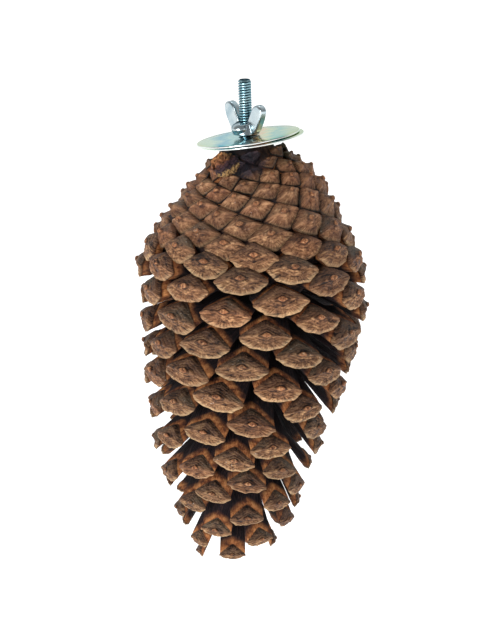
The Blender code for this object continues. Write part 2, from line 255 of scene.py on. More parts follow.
# How the cone grew: the scales follow one spiral from the stem end, which hangs uppermost
growth = {
    "first": 4, "last": 202, "divergence": 137.754, "firstAngle": 171.5, "seed": 11,
    "station": (0, 20, 43, 64, 85, 98, 120, 144, 168, 190, 206),
    "drop": (2.5, 13.4, 21, 33.5, 47.3, 57.4, 86.3, 117, 154, 188, 217),
    "radius": (13, 22.5, 30.5, 39, 47.7, 52.8, 55, 50, 41, 30, 13),
    "fullSide": (4, 6, 7, 6.5, 5, 4.5, 2, 0, 0, 0, 0),
    "centre": (0, 3, 3.5, 3.5, 2.5, 2.5, 2.5, -4, -10, -11, -14.5),
    "extraTurn": (2, 6, 6, 2, 0, 0, 0, 0, 0, 0, 0),
    "ringTilt": (12, 9.5, 8.5, 4.5, 0, -0.5, -3, -6, -8, -5, -3),
    "halfWidth": (4.8, 6.7, 7.7, 9.7, 11.9, 13.2, 13.5, 12.7, 10.4, 8.5, 6),
    "upperLength": (0.9, 0.92, 0.92, 0.9, 0.82, 0.76, 0.74, 0.74, 0.76, 0.78, 0.8),
    "lowerLength": (0.85, 0.85, 0.85, 0.82, 0.74, 0.66, 0.61, 0.59, 0.6, 0.62, 0.65),
    "upperSlope": (5, 20, 33, 35, 35, 37, 42, 46, 52, 62, 75),
    "lowerSlope": (40, 50, 62, 72, 82, 88, 93, 96, 104, 114, 130),
    "bladeDroop": (-80, -65, -48, -35, -15, 0, 22, 36, 45, 60, 75),
    "coreRadius": (10, 17.5, 25.5, 34, 40, 37, 13, 10, 8, 5.5, 2.5),
    "cornerSetBack": 0.12, "cornerDrop": 0.10,      # side corners of an open scale, in half widths
    # where closed scales meet: how deep their corners lie, and how far each laps the next one down
    "meetingSink": {"right": 0.12, "left": 0.12, "top": 0.26, "bottom": 0.0}, "lap": 0.17,
    "closedBelow": 90, "opening": (56, 86),
    # how far each scale may stray: degrees of turn, shares of radius and width, degrees of lean and twist
    "scatter": {"turn": 1.5, "radius": 0.015, "halfWidth": 0.05, "lean": 4, "twist": 5},
    "strays": {161: -8, 169: -17, 171: 4, 174: -11, 177: -9, 179: -7},   # grew out of line, in degrees
    "bladeFoot": 0.5,               # how deep in the core a blade ends, as a share of the core's radius
    "leastLevel": 0.45,             # keeps a steeply drooping blade from growing too long
}


def grown(name, number):
    return float(np.interp(number, growth["station"], growth[name]))


def ringFrame(number):
    centre = Vector((grown("centre", number) * mm, 0, -grown("drop", number) * mm))
    tilt = math.radians(grown("ringTilt", number))
    level = Vector((math.cos(tilt), 0, math.sin(tilt)))
    axis = Vector((-math.sin(tilt), 0, math.cos(tilt)))
    return centre, level, axis


def fullness(number, turn):
    # extra radius of the cone's fuller side, most at -X
    return grown("fullSide", number) * mm * max(0, -math.sin(turn)) ** 6


def slopeDirection(outward, axis, slope):
    return outward * math.cos(math.radians(slope)) - axis * math.sin(math.radians(slope))


def placeScales():
    draw = random.Random(growth["seed"])
    scales = []

    def stray(name):
        return draw.uniform(-growth["scatter"][name], growth["scatter"][name])

    for number in range(growth["first"], growth["last"] + 1):
        centre, level, axis = ringFrame(number)
        extra = grown("extraTurn", number) + growth["strays"].get(number, 0) + stray("turn")
        turn = math.radians(growth["firstAngle"] + growth["divergence"] * number + extra)
        outward = level * math.sin(turn) + Vector((0, -math.cos(turn), 0))
        radius = grown("radius", number) * mm * (1 + stray("radius")) + fullness(number, turn)
        halfWidth = grown("halfWidth", number) * mm * (1 + stray("halfWidth"))
        lean = stray("lean")
        twist = math.radians(stray("twist"))
        across = axis.cross(outward) * math.cos(twist) + axis * math.sin(twist)
        droop = grown("bladeDroop", number) + lean
        core = grown("coreRadius", number) * mm + fullness(number, turn)
        reach = radius - core * growth["bladeFoot"]
        upper, lower = grown("upperSlope", number) + lean, grown("lowerSlope", number) + lean
        scales.append({
            "number": number,
            "halfWidth": halfWidth,
            "umbo": centre + outward * radius,
            "outward": outward,
            "axis": axis,
            "across": across,
            "back": -slopeDirection(outward, axis, upper),
            "down": slopeDirection(outward, axis, lower),
            "upperNormal": slopeDirection(outward, axis, upper - 90),
            "lowerNormal": slopeDirection(outward, axis, lower - 90),
            "inward": -slopeDirection(outward, axis, droop),
            "bladeUp": slopeDirection(outward, axis, droop - 90),
            "upperLength": halfWidth * grown("upperLength", number),
            "lowerLength": halfWidth * grown("lowerLength", number),
            "length": reach / max(math.cos(math.radians(droop)), growth["leastLevel"]),
            "openness": float(np.interp(number, growth["opening"], (0, 1))),
        })
    addCorners(scales)
    return scales


def addCorners(scales):
    # closed scales meet their neighbours 8 and 13 places along the spiral, corner to corner
    near = {scale["number"]: scale["umbo"] for scale in scales}
    for scale in scales:
        n, w, umbo = scale["number"], scale["halfWidth"], scale["umbo"]
        own = {"right": scale["across"] * w, "left": -scale["across"] * w,
               "top": scale["back"] * scale["upperLength"], "bottom": scale["down"] * scale["lowerLength"]}
        if n >= growth["first"] + 13 and n <= growth["last"] - 13:
            meeting = {"right": near[n + 8] + near[n - 13], "left": near[n + 13] + near[n - 8],
                       "top": near[n - 8] + near[n - 13], "bottom": near[n + 8] + near[n + 13]}
            for side in own:
                sink = scale["outward"] * growth["meetingSink"][side] * w
                place = meeting[side] / 2 - umbo - sink + scale["down"] * growth["lap"] * w
                own[side] = own[side].lerp(place, 1 - scale["openness"])
        scale["corners"] = own


# One scale, as rings of points from the umbo out over the thick end and back along the blade
openScale = {
    "segments": 72,
    "face": (0.05, 0.09, 0.13, 0.17, 0.21, 0.27, 0.34, 0.43, 0.53, 0.63, 0.73, 0.82, 0.90, 0.96, 1.0),
    "upperEdge": ((0.998, 0.03), (0.985, 0.07), (0.925, 0.10), (0.935, 0.135), (0.958, 0.20), (0.96, 0.40)),
    "lowerEdge": ((0.996, 0.03), (0.975, 0.08), (0.955, 0.12), (0.945, 0.16), (0.94, 0.22), (0.94, 0.40)),
    "blade": (0.16, 0.28, 0.45, 0.72, 1.0),
}
closedScale = {
    "segments": 52,
    "face": (0.06, 0.11, 0.16, 0.21, 0.28, 0.37, 0.47, 0.57, 0.67, 0.77, 0.86, 0.93, 0.98, 1.0),
    "upperEdge": ((0.99, 0.05), (0.96, 0.11), (0.90, 0.20), (0.75, 0.40)),
    "lowerEdge": ((0.99, 0.05), (0.96, 0.11), (0.90, 0.20), (0.75, 0.40)),
    "blade": (1.0,),
}
# outline of a scale's face: marks round it, and the corner and lip points of a closed and an open scale
faceShape = {
    "marks": (0, 0.17, 0.34, 0.40, 0.53, 0.67, 0.81, 0.94, 1.0),
    "endX": (0.88, 0.985), "endY": (-0.14, -0.26), "lipX": (0.54, 0.62), "lipY": (-0.50, -0.82),
    "sideY": 0.02, "rounding": (0.030, 0.014), "grow": (1.04, 1.0),
    "bladeMarks": (0, 0.17, 0.34, 0.53, 0.67, 0.81, 1.0),
    "bladeAngles": (0, 90, 180, 218, 270, 322, 360),    # degrees round the blade at those marks
}
# relief of a scale, in half widths; a pair is for a closed and an open scale
scaleForm = {
    "tipRise": (0.20, 0.085),       # umbo above the rim's level
    "peak": (0.45, 0.22),           # share of that rise in the umbo's own peak, and the peak's spread
    "umboSize": (0.16, 0.105),      # half width and half height of the umbo, in shares of the face
    "umboRise": 0.022,
    "umboEdge": (1.35, 0.85),       # where the umbo's lozenge starts and is full, in umbo sizes
    "moat": 0.020,
    "moatPlace": (1.6, 0.5),        # middle and spread of the moat, in umbo sizes
    "lowerHollow": 0.045,
    "upperBulge": 0.020,
    "keel": (0.065, 0.040),
    "keelSpread": 0.07,
    "rimRound": (0.17, 0.07),
    "roundFrom": (0.50, 0.75),      # share of the face where the rim starts to round off
    "wrinkle": 0.032,
    "wrinkleFrom": (0.3, 0.9),      # shares of the face where the wrinkles start and are full
    "scallop": 0.055,
    "fineWaves": (30, 18), "broadWaves": 7,     # how many scallops and wrinkles go round a scale
    "lump": 0.034,
    "lumpWaves": (5, 6, 7),
    "shoulderWidth": (0.95, 0.96),  # of the neck behind the thick end, and of the blade's start
    "bladeHalfThickness": 1.5 * mm,
    "bladeMiddleWidth": 0.84,
    "bladeMiddle": 0.45,            # share of the blade's length
    "rootHalfWidth": 3.4 * mm,
    "depthUnit": 25 * mm,           # depth along a blade that counts as one in the painted shade's darkening
    "closedDepth": 8 * mm,          # a closed scale has only a short, tapered foot
    "closedTaper": 0.35,
    "streakSteps": (3, 0.6, 40),    # pattern steps round the umbo, out from it, and to the next scale
}


def ringNoise(turns, count, draw):
    # smooth random values round a ring
    values = draw.uniform(-1, 1, count)
    place = (turns % 1.0) * count
    low = np.floor(place).astype(int)
    part = place - low
    part = part * part * (3 - 2 * part)
    return values[low % count] * (1 - part) + values[(low + 1) % count] * part


def between(pair, openness):
    # from a closed scale's value to an open one's
    return pair[0] + (pair[1] - pair[0]) * openness


def faceOutline(turns, openness):
    # outline of the thick end in shares of its half width and of its upper and lower lengths
    endX, endY, lipX, lipY, rounding, grow = (
        between(faceShape[name], openness) for name in ("endX", "endY", "lipX", "lipY", "rounding", "grow"))
    sideY = faceShape["sideY"]
    shapeX = (1, 0, -1, -endX, -lipX, 0, lipX, endX, 1)
    shapeY = (sideY, 1, sideY, endY, lipY, -1, lipY, endY, sideY)
    x, y, total = 0, 0, 0
    for step in np.linspace(-2, 2, 9):
        weight = math.exp(-step * step / 2)
        moved = (turns + step * rounding) % 1.0
        x = x + weight * np.interp(moved, faceShape["marks"], shapeX)
        y = y + weight * np.interp(moved, faceShape["marks"], shapeY)
        total += weight
    return x / total * grow, y / total * grow


def bladeAngle(turns):
    # angle round the blade that matches the outline's marks
    return np.radians(np.interp(turns % 1.0, faceShape["bladeMarks"], faceShape["bladeAngles"]))


def ballRings(name, segments, rings):
    # a ball as a blank for a turned shape: its mesh, and each vertex's ring and segment
    deselectAll()
    bpy.ops.mesh.primitive_uv_sphere_add(segments=segments, ring_count=rings + 1, radius=1.0)
    obj = bpy.context.object
    obj.name = name
    co = np.zeros(len(obj.data.vertices) * 3)
    obj.data.vertices.foreach_get("co", co)
    co = co.reshape(-1, 3)
    ring = np.rint(np.arccos(np.clip(co[:, 2], -1, 1)) / math.pi * (rings + 1)).astype(int)
    segment = np.rint(np.arctan2(co[:, 1], co[:, 0]) / (2 * math.pi) % 1.0 * segments).astype(int) % segments
    return obj, ring, segment


def shapeBall(obj, ring, segment, points, top, bottom):
    # move the ball's rings to the rings of a shape that runs from its top to its bottom
    co = points[np.clip(ring - 1, 0, len(points) - 1), segment]
    co[ring == 0] = top
    co[ring > len(points)] = bottom
    obj.data.vertices.foreach_set("co", co.ravel())
    obj.data.update()


def modelScaleBlank(recipe):
    # a ball whose rings become the rings of a scale; the copies are shaped from it
    rings = len(recipe["face"]) + len(recipe["upperEdge"]) + len(recipe["blade"])
    blank, recipe["ringOf"], recipe["segmentOf"] = ballRings("scale_blank", recipe["segments"], rings)
    recipe["turns"] = np.arange(recipe["segments"]) / recipe["segments"]
    return blank


def shapeScale(scale, recipe):
    # points and surface marks of one scale, ring by ring
    form = scaleForm
    draw = np.random.RandomState(growth["seed"] * 1000 + scale["number"])
    w = scale["halfWidth"]
    umbo, across, outward, axis = (np.array(scale[name]) for name in ("umbo", "across", "outward", "axis"))
    inward = np.array(scale["inward"])
    turns = recipe["turns"]
    x, y = faceOutline(turns, scale["openness"])
    lower = smoothStep(0.05, -0.25, y)
    upper = 1 - lower
    fine = sum(ringNoise(turns, count, draw) * 0.6 for count in form["fineWaves"])
    broad = ringNoise(turns, form["broadWaves"], draw)
    ragged = 1 + form["scallop"] * (0.6 * fine * lower + 0.5 * broad)
    x, y = x * ragged, y * ragged
    corner = -(outward * growth["cornerSetBack"] + axis * growth["cornerDrop"]) * w * scale["openness"]
    cornerShare = np.clip(np.abs(x), 0, 1) ** 3 * np.clip(1 - np.abs(y), 0, 1)
    rim = corner * cornerShare[:, None]
    for side, share in (("right", x), ("left", -x), ("top", y), ("bottom", -y)):
        rim = rim + np.array(scale["corners"][side]) * np.clip(share, 0, None)[:, None]
    normal = (np.array(scale["lowerNormal"]) * smoothStep(0.25, -0.25, y)[:, None]
              + np.array(scale["upperNormal"]) * smoothStep(-0.25, 0.25, y)[:, None])
    normal /= np.linalg.norm(normal, axis=1)[:, None]
    lumps = [ringNoise(turns, count, draw) for count in form["lumpWaves"]]
    tipRise, keel, rimRound, roundFrom = (between(form[name], scale["openness"])
                                          for name in ("tipRise", "keel", "rimRound", "roundFrom"))
    (peak, peakSpread), (moatAt, moatSpread) = form["peak"], form["moatPlace"]
    points, marks = [], []

    def keep(ring, a, b, reach, face, depth):
        points.append(ring)
        ones = np.ones(len(turns))
        marks.append(np.stack([a * ones, b * ones, reach * ones, face * ones, depth * ones], axis=1))

    for reach in recipe["face"]:
        a, b = x * reach, y * reach
        umboSpan = np.abs(a) / form["umboSize"][0] + np.abs(b) / form["umboSize"][1]
        rise = tipRise * ((1 - peak) * (1 - reach) + peak * math.exp(-(reach / peakSpread) ** 2))
        rise = rise + form["umboRise"] * smoothStep(*form["umboEdge"], umboSpan)
        rise = rise - form["moat"] * np.exp(-((umboSpan - moatAt) / moatSpread) ** 2)
        rise = rise - form["lowerHollow"] * math.sin(math.pi * reach) * lower
        rise = rise + form["upperBulge"] * math.sin(math.pi * reach) * upper
        keelRun = math.sin(math.pi * min(1, reach * 1.1)) ** 0.7        # it fades out before the rim
        rise = rise + keel * np.exp(-(b / form["keelSpread"]) ** 2) * keelRun
        rise = rise - rimRound * float(smoothStep(roundFrom, 1.0, reach)) ** 1.6
        wrinkled = float(smoothStep(*form["wrinkleFrom"], reach)) * (0.35 + 0.65 * lower)
        rise = rise + form["wrinkle"] * fine * wrinkled
        lump = lumps[0] * math.sin(math.pi * reach) + lumps[1] * math.sin(2 * math.pi * reach)
        rise = rise + form["lump"] * (lump + lumps[2] * reach * 0.6)
        keep(umbo + rim * reach + normal * (rise * w)[:, None], a, b, reach, 1, 0)
    middle = middleOf(scale)
    outer = points[-1] - middle
    for (upShrink, setBack), (lowShrink, lowSetBack) in zip(recipe["upperEdge"], recipe["lowerEdge"]):
        shrink = upShrink * upper + lowShrink * lower
        depth = setBack * upper + lowSetBack * lower
        ring = middle + outer * shrink[:, None] + inward * (depth * w)[:, None]
        face = smoothStep(0.12, 0.04, depth)
        keep(ring, x, y, 1 + depth, face, depth * w / form["depthUnit"])
    if scale["number"] < growth["closedBelow"]:
        ring = middle + outer * form["closedTaper"] + inward * form["closedDepth"]
        keep(ring, x, y, 2, 0, 0.6)
        end = middle + inward * form["closedDepth"]
    else:
        neck, bladeStart = form["shoulderWidth"]
        shoulder = outer * neck
        angle = bladeAngle(turns)
        start = recipe["upperEdge"][-1][1] * w / scale["length"]
        for share in recipe["blade"]:
            share = start + (1 - start) * share
            width = np.interp(share, (start, form["bladeMiddle"], 1),
                              (bladeStart * w, form["bladeMiddleWidth"] * w, form["rootHalfWidth"]))
            lens = (across * (np.cos(angle) * width)[:, None]
                    + np.array(scale["bladeUp"]) * (np.sin(angle) * form["bladeHalfThickness"])[:, None])
            # the shoulder melts into the thin blade
            melt = float(np.clip((share - start) / (form["bladeMiddle"] - start), 0, 1)) ** 0.75
            ring = middle + shoulder * (1 - melt) + lens * melt + inward * scale["length"] * share
            keep(ring, x, y, 2, 0, scale["length"] * share / form["depthUnit"])
        end = middle + inward * scale["length"]
    tip = points[0].mean(axis=0) + normal.mean(axis=0) * 0.01 * w
    return np.array(points), np.array(marks), tip, end


def middleOf(scale):
    # middle of the thick end's six rim points: side corners, top, bottom and the two lip points
    w = scale["halfWidth"]
    corner = -(scale["outward"] * growth["cornerSetBack"] + scale["axis"] * growth["cornerDrop"]) * w
    rim = corner * 2 + scale["back"] * scale["upperLength"] + scale["down"] * scale["lowerLength"] * 2.6
    return np.array(scale["umbo"] + rim / 6)


# The washers lie a little out of square, and the crown is pressed flat under the lower one
washerSeat = {"lean": 7.0, "tipBack": 2.0, "thickness": 1.1 * mm, "gap": 0.3 * mm}


def washerLean():
    return (Matrix.Rotation(-math.radians(washerSeat["lean"]), 4, "Y")
            @ Matrix.Rotation(-math.radians(washerSeat["tipBack"]), 4, "X"))


def pressUnderWasher(points):
    normal = np.array(washerLean().to_3x3() @ Vector((0, 0, 1)))
    over = points @ normal + washerSeat["thickness"] + washerSeat["gap"]
    return points - np.clip(over, 0, None)[:, None] * normal


def addScale(blank, scale, recipe):
    points, marks, tip, end = shapeScale(scale, recipe)
    mesh = blank.data.copy()
    rings, last = recipe["ringOf"], len(points)
    grid = np.clip(rings - 1, 0, last - 1)
    co = points[grid, recipe["segmentOf"]]
    mark = marks[grid, recipe["segmentOf"]]
    co[rings == 0] = tip
    mark[rings == 0] = (0, 0, 0, 1, 0)
    co[rings > last] = end
    co = pressUnderWasher(co)
    mesh.vertices.foreach_set("co", co.ravel())
    draw = random.Random(scale["number"] * 17 + 5)
    count = len(co)
    angle = np.arctan2(mark[:, 1], mark[:, 0])
    tone = np.array((draw.random(), draw.random(), draw.random()))
    # streaks run out from the umbo, so their pattern reads the angle round it
    turning, outward, apart = scaleForm["streakSteps"]
    streak = np.stack([np.cos(angle) * turning, np.sin(angle) * turning, mark[:, 2] * outward], axis=1)
    streak = streak + tone * apart
    layer = mesh.attributes.new("openness", "FLOAT", "POINT")
    layer.data.foreach_set("value", np.full(count, scale["openness"], dtype=np.float32))
    for name, values in (
        ("faceMap", mark[:, :3]),
        ("streakMap", streak),
        ("toneMap", np.stack([tone[0] * np.ones(count), mark[:, 3], mark[:, 4]], axis=1)),
    ):
        layer = mesh.attributes.new(name, "FLOAT_VECTOR", "POINT")
        layer.data.foreach_set("vector", values.astype(np.float32).ravel())
    obj = bpy.data.objects.new("scale", mesh)
    bpy.context.scene.collection.objects.link(obj)
    return obj


# Finish of the scales. A pattern has its grain size, detail and roughness; a ramp has its stops.
scaleWood = {
    "mottle": (4 * mm, 6.0, 0.62),
    "patch": (18 * mm, 3.0, 0.5),
    "speck": (1.1 * mm, 2.0, 0.5),
    "lowerFacet": ((0.40, "#3c2519"), (0.46, "#6c4931"), (0.53, "#946b4a"), (0.60, "#c89d70")),
    "upperFacet": ((0.40, "#291a17"), (0.46, "#513828"), (0.54, "#745540"), (0.61, "#987654")),
    "closedFace": ((0.41, "#47291b"), (0.47, "#775037"), (0.53, "#996e4e"), (0.60, "#c39a72")),
    "umbo": ((0.35, "#7c4a30"), (0.52, "#b0754d"), (0.68, "#dba678")),
    "shoulder": ((0.38, "#5a3322"), (0.50, "#a0633a"), (0.62, "#cd8c56")),
    # the blade's dark wood, which also serves as painted shade in the depth of the cone
    "blade": ((0.40, "#0d080f"), (0.55, "#22151a"), (0.70, "#47322a")),
    # painted shadow of the washer on the crown in front of the stud: its colours, middle and radius
    "washerShadow": ((0.44, "#120e16"), (0.52, "#241a22"), (0.60, "#4a3433")),
    "washerShadowPlace": (1.0 * mm, -15.0 * mm, -10.0 * mm),
    "washerShadowRadius": 6.5 * mm,
    "keelWander": 0.30,             # how far the mottling moves the keel, and its middle after that
    "keelAt": 0.17,
    "shade": (0.80, 1.12),          # the darkest and the lightest scale
    "roughness": (0.50, 0.78),
    "bladeRoughness": 0.92,
}


def makeScaleWood(finish):
    # Weathered pine-cone wood: dead matt, tan wrinkled lips, grey-brown upper facets, smooth
    # orange-brown shoulders, and blades with painted shade that darkens them to purple-brown in the depth of
    # the cone
    material, tree, shader = newMaterial("weatheredPineScale")
    objectAt = addNode(tree, "TexCoord").outputs["Object"]
    face, streakAt, toneAt = (addNode(tree, "Attribute", {"attribute_name": name}).outputs["Vector"]
                              for name in ("faceMap", "streakMap", "toneMap"))
    opened = addNode(tree, "Attribute", {"attribute_name": "openness"}).outputs["Fac"]
    closed = addNode(tree, "Math", {"operation": "SUBTRACT"}, {0: 1.0, 1: opened}).outputs[0]
    across, along, reach = addNode(tree, "SeparateXYZ", inputs={0: face}).outputs[:3]
    tone, onFace, depth = addNode(tree, "SeparateXYZ", inputs={0: toneAt}).outputs[:3]
    # a second random value of the scale, from the digits of the first
    toneTwo = addNode(tree, "Math", multiply, {0: tone, 1: 7.0}).outputs[0]
    toneTwo = addNode(tree, "Math", {"operation": "FRACT"}, {0: toneTwo}).outputs[0]

    # streaks that fan out from the umbo, about 1 mm apart at the rim
    streak = addNode(tree, "TexNoise", inputs={
        "Vector": streakAt, "Scale": 3.2, "Detail": 5.0, "Roughness": 0.65}).outputs["Fac"]
    mottle, patch, speck = (
        addNode(tree, "TexNoise", inputs={"Vector": objectAt, "Scale": 1 / size, "Detail": detail,
                                          "Roughness": roughness}).outputs["Fac"]
        for size, detail, roughness in (finish["mottle"], finish["patch"], finish["speck"]))
    # blotches lie level across a scale, like growth ridges above and below the umbo
    ridgeAt = addNode(tree, "CombineXYZ", inputs={
        place: addNode(tree, "Math", multiply, {0: way, 1: stretch}).outputs[0]
        for place, way, stretch in ((0, across, 1.6), (1, along, 4.2), (2, tone, 60.0))}).outputs[0]
    ridge = addNode(tree, "TexNoise", inputs={"Vector": ridgeAt, "Scale": 1.5, "Detail": 4.0,
                                              "Roughness": 0.6, "Distortion": 0.9}).outputs["Fac"]
    ridgeShare = addNode(tree, "MapRange", inputs={0: opened, 3: 0.45, 4: 1.0}).outputs[0]
    ridge = addNode(tree, "Mix", inputs={0: ridgeShare, 2: 0.5, 3: ridge}).outputs[0]

    # the fan shows near the rim, the mottling everywhere
    fan = addNode(tree, "MapRange", smooth, {0: reach, 1: 0.45, 2: 0.85, 3: 0.08, 4: 0.56}).outputs[0]
    calm = addNode(tree, "Math", {"operation": "SUBTRACT"}, {0: 0.60, 1: fan}).outputs[0]
    fanned = addNode(tree, "Math", multiply, {0: streak, 1: fan}).outputs[0]
    grain = fanned
    for pattern, share in ((mottle, calm), (ridge, 0.30), (speck, 0.10)):
        grain = addNode(tree, "Math", multiplyAdd, {0: pattern, 1: share, 2: grain}).outputs[0]
    lowerColor, upperColor, closedColor, washerShadowColor = (
        addNode(tree, "ValToRGB", inputs={0: grain}, stops=finish[name]).outputs[0]
        for name in ("lowerFacet", "upperFacet", "closedFace", "washerShadow"))
    lowerColor, upperColor = (addNode(tree, "Mix", colorMix, {0: opened, 6: closedColor, 7: color}).outputs[2]
                              for color in (lowerColor, upperColor))
    # the keel wanders with the grain, pale wood below it and dark weathered wood above it
    keelAt = addNode(tree, "Math", multiplyAdd, {0: mottle, 1: finish["keelWander"], 2: along}).outputs[0]
    keelStep = addNode(tree, "MapRange", smooth, {0: keelAt, 1: 0.02, 2: 0.42}).outputs[0]
    color = addNode(tree, "Mix", colorMix, {0: keelStep, 6: lowerColor, 7: upperColor}).outputs[2]
    fromKeel = addNode(tree, "Math", {"operation": "SUBTRACT"}, {0: keelAt, 1: finish["keelAt"]}).outputs[0]
    keelAway = addNode(tree, "Math", {"operation": "ABSOLUTE"}, {0: fromKeel}).outputs[0]
    belowUmbo = addNode(tree, "MapRange", smooth, {0: along, 1: -0.10, 2: -0.45}).outputs[0]
    color = layOver(
        tree, color,
        (along, 0.35, 0.98, 0.60, (opened,), "MULTIPLY", "#4c3c3c"),       # shade at an open scale's top
        (reach, 0.74, 0.96, 1.0, (belowUmbo, streak), "MIX", "#dcb98c"),   # pale lip: worn wood with a painted highlight
        (keelAway, 0.17, 0.0, 0.38, (closed,), "MIX", "#c0906a"),          # painted highlight along a closed scale's keel
        (fromKeel, -0.15, -0.95, 0.50, (closed,), "MULTIPLY", "#705a50"),  # and its lower half, in shade
        (reach, 0.55, 1.0, 0.50, (closed,), "MULTIPLY", "#8c7c72"),        # darker towards its edges
        (reach, 0.84, 0.97, 0.95, (closed,), "MULTIPLY", "#241412"))       # painted shade, black in the grooves where closed scales meet
    # redder and greyer scales side by side
    redness = addNode(tree, "MapRange", inputs={0: tone, 1: 0.35, 2: 1.0, 3: 0.0, 4: 0.6}).outputs[0]
    redness = addNode(tree, "Math", multiply, {0: redness, 1: patch}).outputs[0]
    color = addNode(tree, "Mix", {"data_type": "RGBA", "blend_type": "MULTIPLY"},
                    {0: redness, 6: color, 7: linearColor("#dc9c84")}).outputs[2]

    # how far from the umbo, in its own sizes, along its lozenge
    spanX, spanY = (
        addNode(tree, "Math", {"operation": "DIVIDE"}, {
            0: addNode(tree, "Math", {"operation": "ABSOLUTE"}, {0: way}).outputs[0], 1: size}).outputs[0]
        for way, size in zip((across, along), scaleForm["umboSize"]))
    span = addNode(tree, "Math", {"operation": "ADD"}, {0: spanX, 1: spanY}).outputs[0]
    frayed = span
    for pattern, share in ((speck, 0.9), (mottle, 0.8)):
        frayed = addNode(tree, "Math", multiplyAdd, {0: pattern, 1: share, 2: frayed}).outputs[0]
    umboColor = addNode(tree, "ValToRGB", inputs={0: speck}, stops=finish["umbo"]).outputs[0]
    umboShare = addNode(tree, "MapRange", inputs={0: tone, 1: 0.0, 2: 1.0, 3: 0.35, 4: 0.75}).outputs[0]
    umboShare = addNode(tree, "Math", multiplyAdd, {0: opened, 1: 0.2, 2: umboShare}).outputs[0]
    # growth rings follow the umbo's outline, broken by the ridges
    ringPhase = addNode(tree, "Math", multiplyAdd, {0: ridge, 1: 2.6, 2: span}).outputs[0]
    ringPhase = addNode(tree, "Math", multiply, {0: ringPhase, 1: 3.6}).outputs[0]
    growthRing = addNode(tree, "Math", {"operation": "SINE"}, {0: ringPhase}).outputs[0]
    ringShare = addNode(tree, "MapRange", inputs={0: opened, 3: 0.35, 4: 2.0}).outputs[0]
    dusty = addNode(tree, "MapRange", smooth, {0: patch, 1: 0.54, 2: 0.66}).outputs[0]
    faceColor = layOver(
        tree, color,
        (frayed, 3.4, 2.2, 0.75, (), "MULTIPLY", "#7a6252"),               # faint dark ring round the umbo
        (frayed, 2.15, 1.75, 1.0, (umboShare,), "MIX", umboColor),         # the small salmon umbo
        (growthRing, -0.35, -1.0, 0.55, (calm, ringShare), "MULTIPLY", "#5c4238"),
        (patch, 0.47, 0.66, 0.45, (keelStep,), "MIX", "#5c5748"),          # grey-green film above the keel
        (speck, 0.37, 0.28, 0.7, (), "MULTIPLY", "#46362c"),               # dark pin specks
        (ridge, 0.43, 0.34, 0.85, (), "MULTIPLY", "#5a4240"),              # cracks between the ridges
        (speck, 0.66, 0.74, 0.8, (dusty,), "MIX", "#cfc6bb"))              # a few spots of white dust

    # shoulder and blade: smooth orange-brown wood, with painted shade that darkens it to purple-black deeper
    # inside the cone
    shoulderColor = addNode(tree, "ValToRGB", inputs={0: mottle}, stops=finish["shoulder"]).outputs[0]
    bladeWoodAndShade = addNode(tree, "ValToRGB", inputs={0: streak}, stops=finish["blade"]).outputs[0]
    raggedDepth = addNode(tree, "Math", multiplyAdd, {0: patch, 1: 0.34, 2: depth}).outputs[0]
    innerWoodAndShade = layOver(
        tree, shoulderColor,
        # painted shade: deeper in the cone, the blade's dark colour takes over
        (raggedDepth, 0.22, 0.45, 1.0, (), "MIX", bladeWoodAndShade),
        (reach, 1.15, 1.09, 0.85, (), "MIX", "#1c0f0e"))                   # painted shade in the groove behind the face
    color = addNode(tree, "Mix", colorMix, {0: onFace, 6: innerWoodAndShade, 7: faceColor}).outputs[2]
    # painted shade blackens the crown close under the washers, and a painted shadow of the washer darkens a
    # patch in front of the stud
    height = addNode(tree, "SeparateXYZ", inputs={0: objectAt}).outputs[2]
    height = addNode(tree, "Math", multiplyAdd, {0: mottle, 1: 6 * mm, 2: height}).outputs[0]
    away = addNode(tree, "VectorMath", {"operation": "DISTANCE"},
                   {0: objectAt, 1: finish["washerShadowPlace"]}).outputs[1]
    away = addNode(tree, "Math", multiplyAdd, {0: mottle, 1: -8 * mm, 2: away}).outputs[0]
    color = layOver(
        tree, color,
        (height, -11 * mm, -3 * mm, 0.65, (), "MULTIPLY", "#554a52"),
        (away, finish["washerShadowRadius"], finish["washerShadowRadius"] * 0.4, 1.0, (), "MIX", washerShadowColor))
    # every scale is a little lighter or darker than the next
    darkest, lightest = finish["shade"]
    shade = addNode(tree, "MapRange", inputs={0: toneTwo, 1: 0.0, 2: 1.0, 3: darkest, 4: lightest}).outputs[0]
    color = addNode(tree, "VectorMath", {"operation": "SCALE"}, {0: color, "Scale": shade}).outputs[0]
    smoothest, roughest = finish["roughness"]
    rough = addNode(tree, "MapRange", inputs={0: mottle, 1: 0.3, 2: 0.7, 3: smoothest,
                                              4: roughest}).outputs[0]
    rough = addNode(tree, "Mix", inputs={0: onFace, 2: finish["bladeRoughness"], 3: rough}).outputs[0]
    # relief: the fan, the mottling, the growth rings and the ridges, with the specks over them
    ringHeight = addNode(tree, "MapRange", inputs={0: opened, 3: 0.015, 4: 0.05}).outputs[0]
    relief = fanned
    for pattern, share in ((mottle, 0.45), (growthRing, ringHeight), (ridge, 0.45)):
        relief = addNode(tree, "Math", multiplyAdd, {0: pattern, 1: share, 2: relief}).outputs[0]
    bump = addNode(tree, "Bump", inputs={"Height": relief, "Strength": 0.8, "Distance": 2.2 * mm})
    bump = addNode(tree, "Bump", inputs={"Height": speck, "Strength": 0.35, "Distance": 0.35 * mm,
                                         "Normal": bump.outputs[0]})
    fillSockets(tree, shader, {"Base Color": color, "Roughness": rough, "Normal": bump.outputs[0],
                               "IOR": 1.45, "Specular IOR Level": 0.35})
    return material


scaleGroups = (
    ("crown_scales", 4, 60), ("dome_scales", 61, 91), ("upper_scales", 92, 119),
    ("middle_scales", 120, 147), ("lower_scales", 148, 175), ("tip_scales", 176, 202),
)


